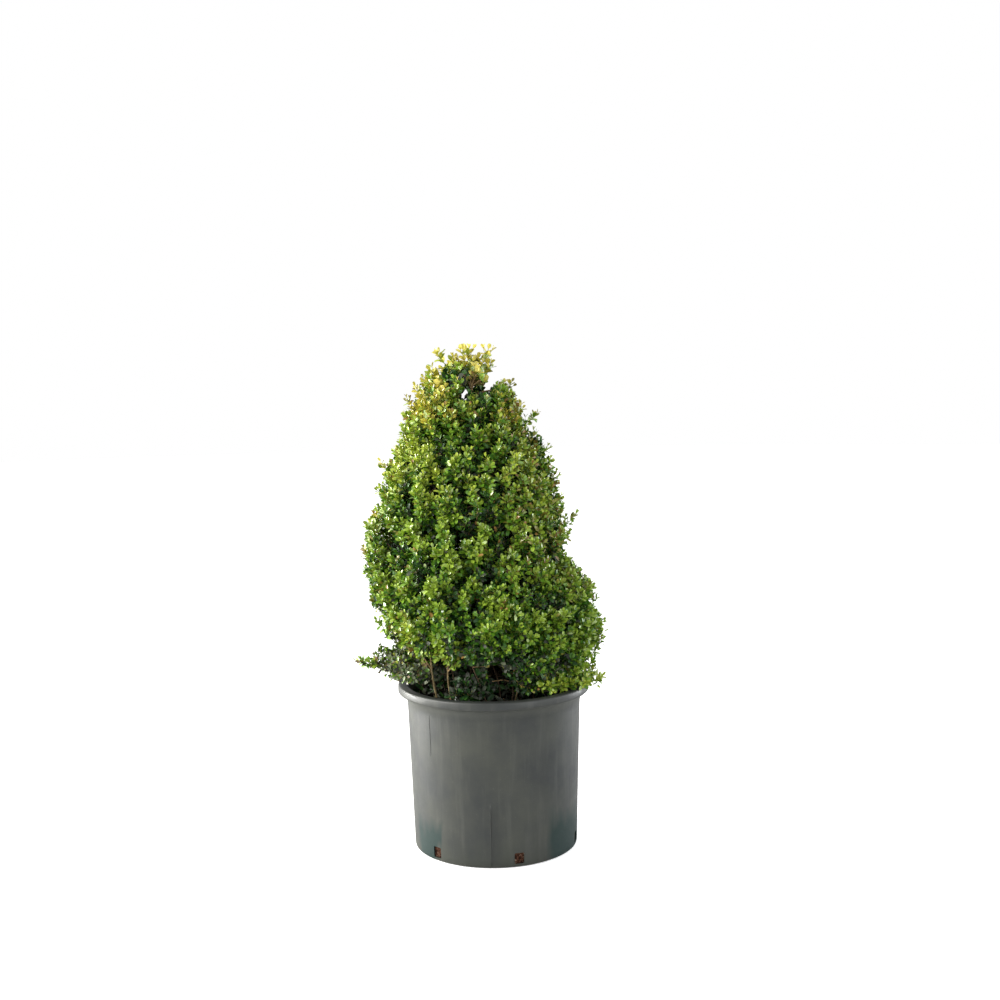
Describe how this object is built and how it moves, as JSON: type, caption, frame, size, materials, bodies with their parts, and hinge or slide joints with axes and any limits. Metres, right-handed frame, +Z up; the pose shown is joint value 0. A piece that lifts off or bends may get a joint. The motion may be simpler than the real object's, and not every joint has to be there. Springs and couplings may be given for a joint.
{
  "type": "boxwood cone topiary",
  "caption": "Potted boxwood clipped to a broad cone and grown out loosely, leaning left over a low right shoulder, in a plain grey round plastic nursery pot.",
  "frame": {"origin": "middle of the flat underside of the pot, on the surface it stands on", "axes": "+Z up, along the pot's axis and the plant's height; +X towards the wide shoulder low on the right; -Y towards the pictured front"},
  "size_m": [0.4856, 0.4408, 0.9268],
  "materials": {
    "pot": "satin",
    "soil": "rough",
    "bark": "rough",
    "young_foliage": "semi-gloss",
    "foliage": "semi-gloss",
    "shaded_foliage": "semi-gloss"
  },
  "bodies": {
    "root": {"pot": "pot", "soil": "soil", "trunk": "bark", "bough_left": "bark", "bough_right": "bark", "bough_back": "bark", "bough_front": "bark", "bough_skirt_left": "bark", "bough_skirt_right": "bark", "stem_front_left": "bark", "stem_front": "bark", "stem_front_right": "bark", "stem_skirt": "bark", "crown_upper": "young_foliage", "crown_middle": "foliage", "crown_lower_left": "foliage", "crown_lower_right": "foliage", "crown_lower_back": "foliage", "crown_tip": "young_foliage", "skirt_left": "shaded_foliage", "skirt_right": "foliage", "skirt_front": "shaded_foliage"}
  },
  "joints": []
}
